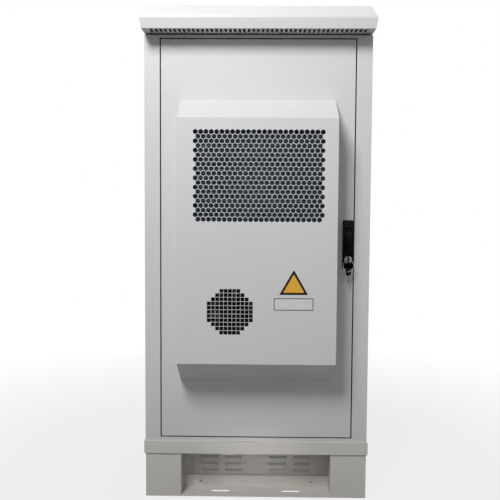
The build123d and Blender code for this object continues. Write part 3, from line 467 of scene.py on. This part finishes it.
# One ring is the frame seal; the other is the painted shade in the door gap.
seal_and_gap_shade = Shape()
for outside, inside, (near, far) in ((SEAL_OUT, SEAL_IN, SEAL_DEPTHS), (GAP_SHADE_OUT, GAP_SHADE_IN, GAP_SHADE_DEPTHS)):
    rings = []
    for edges, depth in ((outside, near), (outside, far), (inside, far), (inside, near)):
        rings.append([facing(a, b, depth) for a, b in bar(*edges)])
    seal_and_gap_shade.stack(rings, True)
seal_and_gap_shade.piece("frame_seal_and_gap_shade", "cabinet", sponge.material, "seal_rubber")
coat(zinc, "hinge_pins", "hinge_brackets")

# Coils: two packs of thin aluminium fins, blue-green with a coating that sheds water, pressed on
# copper hairpins whose bends stand out of the side plates. The sizes are half the width, front,
# back, foot and top, and how far the side plates reach.
FIN_PITCH = 2.6
FIN_T = 0.35
FIN_END = 4.0
FIN_BACK = 0.5
FIN_SHORT = 6.0
SIDE_T = 3.0
END_T = 1.5
PIPE_R = 4.5
PIPE_PITCH = 25.0
PIPE_LOW = 20.0
PIPE_SPARE = 30.0
PIPE_STEPS = 12
BEND_STEPS = 8
FIN_DARK = (0.11, 0.17, 0.22, 1.0)
FIN_PALE = (0.19, 0.28, 0.34, 1.0)
COILS = {
    "condenser_coil": (232.0, -481.0, -449.0, 936.0, 1237.0, (-481.0, -377.0)),
    "evaporator_coil": (170.0, -290.0, -254.0, 850.0, 1150.0, (-300.0, -254.0)),
}
finned = Finish("coated_fins", Metallic=0.55)
film = finned.noise(35.0, 3.0)
finned.feed("Base Color", finned.blend(film, FIN_DARK, FIN_PALE))
finned.feed("Roughness", film * 0.2 + 0.3)

for name, (half, front, back, low, high, sides) in COILS.items():
    fins = Shape()
    count = int(2 * (half - FIN_END) / FIN_PITCH)
    outline = bar(front + FIN_BACK, back, low + FIN_SHORT, high - FIN_SHORT)
    for i in range(count + 1):
        x = (i - count / 2) * FIN_PITCH
        fins.prism(sideways, outline, x - FIN_T / 2, x + FIN_T / 2)
    fins.piece(f"{name}_fins", "door", finned.material, "coil_fins", name)
    frames = Shape()
    inside = half - SIDE_T
    for edges in ((-half, -inside), (inside, half)):
        frames.prism(sideways, bar(*sides, low, high), *edges)
    for edges in ((low, low + END_T), (high - END_T, high)):
        frames.prism(flat, bar(-inside, inside, front, back), *edges)
    frames.piece(f"{name}_plates", "door", zinc, "zinc_sheet", name)
    pipes = Shape()
    bends = Shape()
    middle = (front + back) / 2
    rows = int((high - low - PIPE_SPARE) / PIPE_PITCH)
    for row in range(rows):
        z = low + PIPE_LOW + row * PIPE_PITCH
        pipes.tube([(-half, middle, z), (half, middle, z)], PIPE_R, PIPE_STEPS)
        side = 1 if row % 2 else -1
        if row + 1 < rows and name == "condenser_coil":
            turns = [pi * i / BEND_STEPS for i in range(BEND_STEPS + 1)]
            reach = PIPE_PITCH / 2
            path = [(side * (half - 1 + reach * sin(t)), middle, z + reach - reach * cos(t)) for t in turns]
            bends.tube(path, PIPE_R, PIPE_STEPS)
    pipes.piece(f"{name}_pipes", "door", finned.material, "coil_fins", name)
    if name == "condenser_coil":
        bends.piece(f"{name}_bends", "door", copper, "copper", name)

# Fans and compressor: moulded black housings and rotors; the compressor is a drawn steel can,
# dipped in black enamel.
ENAMEL_DARK = (0.01, 0.01, 0.011, 1.0)
ENAMEL_PALE = (0.018, 0.018, 0.02, 1.0)
enamel = Finish("black_enamel", Roughness=0.25)
enamel.feed("Base Color", enamel.blend(enamel.noise(20.0), ENAMEL_DARK, ENAMEL_PALE))
enamel.relief(enamel.noise(60.0, 1.0), 0.0002)
coat(enamel.material, "compressor")
coat(black_plastic, "condenser_fan_housing", "condenser_fan")
coat(black_plastic, "evaporator_fan_housing", "evaporator_fan")

# Air conditioner cover: a shell of folded sheet with sloped top and bottom, punched with rows of
# hexagons before the coil and a round field of squares before the fan, then sprayed grey. It sits
# over a tub let through the door, which a second folded cover closes on the inside.
COVER_HALF = 255.0
COVER_FRONT = -494.6
COVER_BACK = -375.0
COVER_T = 1.5
COVER_HIGH = (1268.0, 1340.0)
COVER_LOW = (485.0, 403.0)
HEX_PITCH = 16.7
HEX_RISE = HEX_PITCH * sqrt(3) / 2
HEX_FLATS = 14.8
HEX_X = 5.0
HEX_Z = 1086.0
HEX_ROWS = 20
HEX_COLUMNS = 25
SQUARE_PITCH = 13.4
SQUARE = 12.0
FIELD_X = -85.0
FIELD_Z = 654.0
FIELD_ROWS = (5, 7, 9, 11, 11, 11, 11, 11, 9, 7, 5)

coat(grey, "ac_chassis", "ac_inner_cover")
cover = Shape()
corners = {}
hole_corners = set()


def corner(a, b, depth=COVER_FRONT):
    """The one corner of the front sheet at a place, made when first asked for."""
    key = (round(a, 2), round(b, 2), round(depth, 2))
    if key not in corners:
        corners[key] = cover.mesh.verts.new(facing(a, b, depth))
    return corners[key]


def punch(cell, hole):
    """The ring of sheet between a cell's outline and its hole."""
    inner = [corner(a, b) for a, b in hole]
    hole_corners.update(inner)
    cover.skin([corner(a, b) for a, b in cell], inner)


for row in range(HEX_ROWS):
    count = HEX_COLUMNS - row % 2
    z = HEX_Z - (row - (HEX_ROWS - 1) / 2) * HEX_RISE
    for i in range(count):
        x = HEX_X + (i - (count - 1) / 2) * HEX_PITCH
        cell, hole = (circle(x, z, across / sqrt(3), 6, pi / 6) for across in (HEX_PITCH, HEX_FLATS))
        punch(cell, hole)
for row, count in enumerate(FIELD_ROWS):
    z = FIELD_Z + (row - (len(FIELD_ROWS) - 1) / 2) * SQUARE_PITCH
    for i in range(count):
        x = FIELD_X + (i - (count - 1) / 2) * SQUARE_PITCH
        cell, hole = (bar(x - reach, x + reach, z - reach, z + reach)
                      for reach in (SQUARE_PITCH / 2, SQUARE / 2))
        punch(cell, hole)

rims = [edge for edge in cover.mesh.edges if len(edge.link_faces) == 1]
field_edges = [edge for edge in rims if not hole_corners.intersection(edge.verts)]
front = [corner(a, b) for a, b in bar(-COVER_HALF, COVER_HALF, COVER_LOW[0], COVER_HIGH[0])]
frame_edges = [cover.mesh.edges.new((front[i], front[(i + 1) % 4])) for i in range(4)]
bmesh.ops.triangle_fill(cover.mesh, edges=frame_edges + field_edges, use_beauty=True)
back = [corner(a, b, COVER_BACK) for a, b in bar(-COVER_HALF, COVER_HALF, COVER_LOW[1], COVER_HIGH[1])]
cover.skin(front, back)
bmesh.ops.recalc_face_normals(cover.mesh, faces=cover.mesh.faces)
bmesh.ops.solidify(cover.mesh, geom=cover.mesh.faces[:], thickness=COVER_T)
cover.piece("cover_shell", "door", grey, "powder_coat", "ac_cover")

# Signs on the cover: a plain amber triangle with a black border and a pale plate with a thin dark
# border, both printed on thin aluminium and stuck on.
SIGN_X = 118.0
SIGN_SIDE = 92.0
SIGN_LOW = 710.0
SIGN_CORNER = 2.0
SIGN_BORDER = 7.0
PLATE = (55.0, 181.0, 660.0, 699.0)
PLATE_BORDER = 2.4
PLATE_R = 2.0
PALE_R = 1.2
FILM_FACE = -494.8
SIGN_FACE = -495.0
SINK = 0.2
FILM_SINK = 0.1
PRINT_DARK = (0.01, 0.01, 0.01, 1.0)
PRINT_WORN = (0.02, 0.02, 0.02, 1.0)
AMBER = (0.8, 0.44, 0.045, 1.0)
AMBER_WORN = (0.76, 0.4, 0.035, 1.0)
PALE = (0.72, 0.71, 0.7, 1.0)
PALE_WORN = (0.66, 0.65, 0.64, 1.0)


def sign_outline(inset):
    """A triangle with round corners, drawn in from the plate's edge."""
    centre = SIGN_LOW + SIGN_SIDE / (2 * sqrt(3))
    reach = SIGN_SIDE / sqrt(3) - 2 * SIGN_CORNER - 2 * inset
    points = []
    for turn in (90, 210, 330):
        a = SIGN_X + reach * cos(radians(turn))
        b = centre + reach * sin(radians(turn))
        turns = [radians(turn + i * 20) for i in range(-3, 4)]
        points += [(a + SIGN_CORNER * cos(t), b + SIGN_CORNER * sin(t)) for t in turns]
    return points


printed = Finish("black_print", Roughness=0.35, Specular_IOR_Level=0.2)
printed.feed("Base Color", printed.blend(printed.noise(50.0), PRINT_DARK, PRINT_WORN))
amber = Finish("amber_print", Roughness=0.35)
amber.feed("Base Color", amber.blend(amber.noise(40.0), AMBER, AMBER_WORN))
white = Finish("pale_print", Roughness=0.4)
white.feed("Base Color", white.blend(white.noise(40.0), PALE, PALE_WORN))
sign = Shape()
sign.prism(facing, sign_outline(0.0), FILM_FACE, COVER_FRONT + SINK)
sign.piece("triangle_border", "door", printed.material, "black_plastic")
sign = Shape()
sign.prism(facing, sign_outline(SIGN_BORDER), SIGN_FACE, FILM_FACE + FILM_SINK)
sign.piece("triangle_plate", "door", amber.material, "powder_coat")
label = Shape()
label.prism(facing, rounded(*PLATE, PLATE_R), FILM_FACE, COVER_FRONT + SINK)
label.piece("label_border", "door", printed.material, "black_plastic")
a_low, a_high, b_low, b_high = PLATE
pale = (a_low + PLATE_BORDER, a_high - PLATE_BORDER, b_low + PLATE_BORDER, b_high - PLATE_BORDER)
label = Shape()
label.prism(facing, rounded(*pale, PALE_R), SIGN_FACE, FILM_FACE + FILM_SINK)
label.piece("label_plate", "door", white.material, "powder_coat")

# Lock: a die cast plate, boss and swing lever in gloss black, with a nickel plated cylinder. The
# plate is screwed on from behind, and as the boss turns, the case there slides two steel rods.
CAST_DARK = (0.003, 0.003, 0.003, 1.0)
CAST_PALE = (0.006, 0.006, 0.006, 1.0)
NICKEL = (0.78, 0.76, 0.73, 1.0)
NICKEL_DULL = (0.66, 0.64, 0.62, 1.0)
cast = Finish("black_die_cast", Roughness=0.2, Specular_IOR_Level=0.1)
cast.feed("Base Color", cast.blend(cast.noise(60.0), CAST_DARK, CAST_PALE))
cast.relief(cast.noise(700.0), 0.00002, 0.0008)
lock_black = cast.material
nickel = Finish("nickel_plate", Metallic=1.0, Roughness=0.16)
nickel.feed("Base Color", nickel.blend(nickel.noise(80.0), NICKEL, NICKEL_DULL))
nickel.relief(nickel.noise(400.0), 0.00001)
coat(zinc, "lock_case", "lock_rod_top", "lock_rod_bottom")
LOCK_X = 302.0
LOCK_STEPS = 40
PIN_STEPS = 20
KNUCKLE_STEPS = 28
EAR_STEPS = 16
DOOR_FACE = -375.0
LOCK_FACE = -381.0
LOCK_EDGES = (284.0, 320.0, 784.0, 946.0)
LOCK_R = 5.0
LOCK_LEVELS = ((DOOR_FACE, 0.0), (LOCK_FACE + 1.6, 0.0), (LOCK_FACE + 0.5, 0.5), (LOCK_FACE, 1.7))
KEY_Z = 815.0
COLLAR_FACE = -389.0
COLLAR = ((12.0, LOCK_FACE + 0.5), (12.0, COLLAR_FACE + 1.0), (11.0, COLLAR_FACE), (8.4, COLLAR_FACE),
          (7.4, COLLAR_FACE + 0.8), (7.2, COLLAR_FACE + 3.0))
SPINDLE_Z = 925.0
BOSS = ((5.0, -361.0), (5.0, -381.3), (12.6, -381.3), (13.0, -381.9), (13.0, -385.4), (12.2, -386.3))
LIFT_Y = -391.8
EAR_BACK = -386.0
EAR_R = 8.0
EAR_PLACES = ((291.0, 296.0), (308.0, 313.0))
PIN = ((1.4, 290.9), (2.4, 291.4), (2.4, 312.6), (1.4, 313.1))
KNUCKLE = ((5.2, 296.4), (5.2, 307.6))
NECK = (LOCK_X - 5.6, LOCK_X + 5.6, LIFT_Y - 3.4, LIFT_Y + 3.4)
NECK_R = 1.2
NECK_LEVELS = ((908.0, 0.0), (922.0, 0.0))
LEVER_BACK = -383.8
LEVER = (
    (910.5, 8.5, -392.5, 2.0),
    (908.5, 10.2, -394.6, 2.5),
    (904.0, 11.0, -395.6, 3.0),
    (885.0, 11.0, -395.8, 3.5),
    (862.0, 10.6, -395.2, 3.5),
    (848.0, 9.6, -394.4, 3.5),
    (841.0, 7.8, -393.4, 3.0),
    (838.0, 5.8, -392.0, 2.5),
    (837.0, 3.6, -390.4, 2.0),
)

plate = Shape()
plate.panel(facing, LOCK_EDGES, LOCK_R, LOCK_LEVELS)
plate.piece("lock_plate_casting", "door", lock_black, "lock_black", "lock_plate")
collar = Shape()
collar.turned(facing, LOCK_X, KEY_Z, COLLAR, LOCK_STEPS)
collar.piece("cylinder_collar", "door", nickel.material, "key_steel", "lock_plate")

boss = Shape()
boss.turned(facing, LOCK_X, SPINDLE_Z, BOSS, LOCK_STEPS)
ear = [(EAR_BACK, SPINDLE_Z + EAR_R), (EAR_BACK, SPINDLE_Z - EAR_R)]
turns = [pi * i / EAR_STEPS for i in range(EAR_STEPS + 1)]
ear += [(LIFT_Y - EAR_R * sin(t), SPINDLE_Z - EAR_R * cos(t)) for t in turns]
for low, high in EAR_PLACES:
    boss.prism(sideways, ear, low, high)
boss.piece("boss_casting", "handle", lock_black, "lock_black", "handle_boss")
pin = Shape()
pin.turned(sideways, LIFT_Y, SPINDLE_Z, PIN, PIN_STEPS)
pin.piece("boss_pin", "handle", nickel.material, "key_steel", "handle_boss")

lever = Shape()
rings = []
for z, half, front, radius in LEVER:
    outline = rounded(LOCK_X - half, LOCK_X + half, front, LEVER_BACK, radius)
    rings.append([flat(a, b, z) for a, b in outline])
lever.stack(rings)
lever.turned(sideways, LIFT_Y, SPINDLE_Z, KNUCKLE, KNUCKLE_STEPS)
lever.panel(flat, NECK, NECK_R, NECK_LEVELS)
lever.piece("lever_casting", "lever", lock_black, "lock_black", "handle_lever")

# Keys: one in the cylinder, and a spare that hangs a little turned on a split ring of spring wire.
# Both are stamped from nickel silver and held in moulded black grips.
BOW_Y = -403.0
BOW_HALF = 11.0
BOW_RISE = 12.0
BOW_T = 3.0
BOW_CORNER = 5.0
EYE_R = 3.0
EYE_STEPS = 24
SHANK_STEPS = 32
SHANK = ((7.0, -377.5), (7.0, -388.4), (6.4, -389.0), (1.0, -389.0))
STEM = (-393.0, -388.5, KEY_Z - 4.0, KEY_Z + 4.0)
STEM_T = 2.0
RING_Z = 795.7
RING_R = 18.0
RING_PITCH = 1.5
RING_STEPS = 96
WIRE_R = 0.72
WIRE_STEPS = 8
SPARE_Z = 776.4
SPARE_TURN = radians(52)
TEETH = ((4.0, 0.0), (4.0, -9.0), (2.2, -11.0), (3.4, -13.5), (1.6, -16.0), (3.0, -18.5), (1.2, -21.0),
         (2.6, -24.0), (0.8, -26.8), (-4.0, -24.0), (-4.0, 0.0))


def hanging(a, b, depth):
    """A point of the spare key: across its width, up, and through its thickness."""
    across = Vector((sin(SPARE_TURN), cos(SPARE_TURN)))
    place = Vector((LOCK_X, BOW_Y)) + across * a + Vector((across.y, -across.x)) * depth
    return (place.x, place.y, b)


def bow(key, view, a, b):
    """A key's moulded grip with the eye for the ring."""
    edges = (a - BOW_HALF, a + BOW_HALF, b - BOW_RISE, b + BOW_RISE)
    middle = LOCK_X if view is sideways else 0.0
    eye = circle(a, b, EYE_R, EYE_STEPS)
    key.pierced(view, rounded(*edges, BOW_CORNER), eye, middle - BOW_T / 2, middle + BOW_T / 2)


grip = Shape()
bow(grip, sideways, BOW_Y, KEY_Z)
grip.piece("key_grip", "key", black_plastic, "black_plastic", "door_key")
shank = Shape()
shank.turned(facing, LOCK_X, KEY_Z, SHANK, SHANK_STEPS)
shank.prism(sideways, bar(*STEM), LOCK_X - STEM_T / 2, LOCK_X + STEM_T / 2)
shank.piece("key_shank", "key", nickel.material, "key_steel", "door_key")
grip = Shape()
bow(grip, hanging, 0.0, SPARE_Z)
grip.piece("spare_grip", "key", black_plastic, "black_plastic", "spare_key")
blade = Shape()
root = SPARE_Z - BOW_RISE + 0.5
blade.prism(hanging, [(a, root + b) for a, b in TEETH], -1.0, 1.0)
blade.piece("spare_blade", "key", nickel.material, "key_steel", "spare_key")
ring = Shape()
path = []
for i in range(RING_STEPS + 1):
    turn = 4 * pi * i / RING_STEPS
    depth = BOW_Y + RING_PITCH * (i / RING_STEPS - 0.5)
    path.append((LOCK_X + RING_R * sin(turn), depth, RING_Z + RING_R * cos(turn)))
ring.tube(path, WIRE_R, WIRE_STEPS)
ring.piece("split_ring", "key", nickel.material, "key_steel", "key_ring")

# Stage: a pale floor that keeps the shadow, a large soft lamp high on the left, a weaker one on
# the right, a faint narrow one for the plinth, and white behind everything that looks past the cabinet.
FLOOR_HALF = 40.0
FLOOR_PALE = (0.3, 0.3, 0.3, 1.0)
FLOOR_DARK = (0.28, 0.28, 0.28, 1.0)
WHITE_NEAR = 0.9
WHITE_FAR = 2.2
NEAR_SHARE = 0.8
ROOM_LIGHT = 0.2
floor_finish = Finish("pale_floor", Roughness=0.9)
tone = floor_finish.blend(floor_finish.noise(1.5), FLOOR_PALE, FLOOR_DARK)
floor_finish.feed("Base Color", tone)
length = {"operation": "LENGTH"}
away = floor_finish.node("ShaderNodeVectorMath", length, {0: floor_finish.place}, "Value")
direct = floor_finish.node("ShaderNodeLightPath", output="Is Camera Ray")
share = direct * (floor_finish.fade(away, WHITE_NEAR, WHITE_FAR) * (1 - NEAR_SHARE) + NEAR_SHARE)
glow = floor_finish.node("ShaderNodeEmission", {}, {"Color": (1, 1, 1, 1), "Strength": 1.0})
plain = Value(floor_finish, floor_finish.shader.outputs[0])
mixed = floor_finish.node("ShaderNodeMixShader", {}, {0: share, 1: plain, 2: glow})
surface = floor_finish.tree.nodes["Material Output"].inputs["Surface"]
floor_finish.tree.links.new(mixed.socket, surface)
ground = bmesh.new()
bmesh.ops.create_grid(ground, x_segments=1, y_segments=1, size=FLOOR_HALF)
floor_mesh = bpy.data.meshes.new("studio_floor")
ground.to_mesh(floor_mesh)
ground.free()
floor_mesh.materials.append(floor_finish.material)
floor = bpy.data.objects.new("studio_floor", floor_mesh)
bpy.context.scene.collection.objects.link(floor)
floor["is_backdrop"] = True


def lamp(name, place, aim, size, power, spread=180.0):
    """A square soft lamp at a place, turned to face a point."""
    light = bpy.data.lights.new(name, "AREA")
    light.size = size
    light.energy = power
    light.spread = radians(spread)
    made = bpy.data.objects.new(name, light)
    made.location = place
    made.rotation_euler = (Vector(aim) - Vector(place)).to_track_quat("-Z", "Y").to_euler()
    bpy.context.scene.collection.objects.link(made)
    made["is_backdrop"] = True


lamp("key_lamp", (-0.75, -2.4, 3.0), (0.0, -0.4, 1.3), 0.9, 76.0)
lamp("fill_lamp", (2.6, -2.6, 2.2), (0.0, -0.3, 1.2), 2.0, 6.0)
lamp("rear_lamp", (0.9, 3.4, 2.9), (0.0, 0.4, 0.9), 2.2, 95.0)
lamp("low_lamp", (0.0, -2.3, 0.1), (0.0, -0.3, 0.07), 0.26, 0.046, 8.0)

world = bpy.data.worlds.new("studio_white")
bpy.context.scene.world = world
world.use_nodes = True
room = Nodes(world.node_tree)
seen = room.node("ShaderNodeLightPath", output="Is Camera Ray")
for name in ("Is Transmission Ray", "Is Glossy Ray"):
    ray = room.node("ShaderNodeLightPath", output=name)
    seen = room.node("ShaderNodeMath", {"operation": "MAXIMUM"}, {0: seen, 1: ray})
strength = room.node("ShaderNodeMapRange", {}, {"Value": seen, "To Min": ROOM_LIGHT, "To Max": 1.0})
backdrop = room.tree.nodes["Background"]
backdrop.inputs["Color"].default_value = (1.0, 1.0, 1.0, 1.0)
room.tree.links.new(strength.socket, backdrop.inputs["Strength"])

# Camera: it stands in front of the door, a little above the middle of the cabinet, and looks
# slightly down and to the left.
CAMERA_PLACE = (0.010, -2.707, 0.994)
CAMERA_LENS = 50.4
CAMERA_TURN = radians(0.82)
CAMERA_DIP = radians(3.665)
CAMERA_ROLL = radians(0.335)
scene = bpy.context.scene
scene.view_settings.view_transform = "Standard"
lens = bpy.data.cameras.new("photo_camera")
lens.lens = CAMERA_LENS
camera = bpy.data.objects.new("photo_camera", lens)
camera.location = CAMERA_PLACE
turn = Matrix.Rotation(CAMERA_TURN, 4, "Z") @ Matrix.Rotation(pi / 2 - CAMERA_DIP, 4, "X")
camera.rotation_euler = (turn @ Matrix.Rotation(CAMERA_ROLL, 4, "Z")).to_euler()
scene.collection.objects.link(camera)
camera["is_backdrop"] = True
scene.camera = camera

low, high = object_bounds()
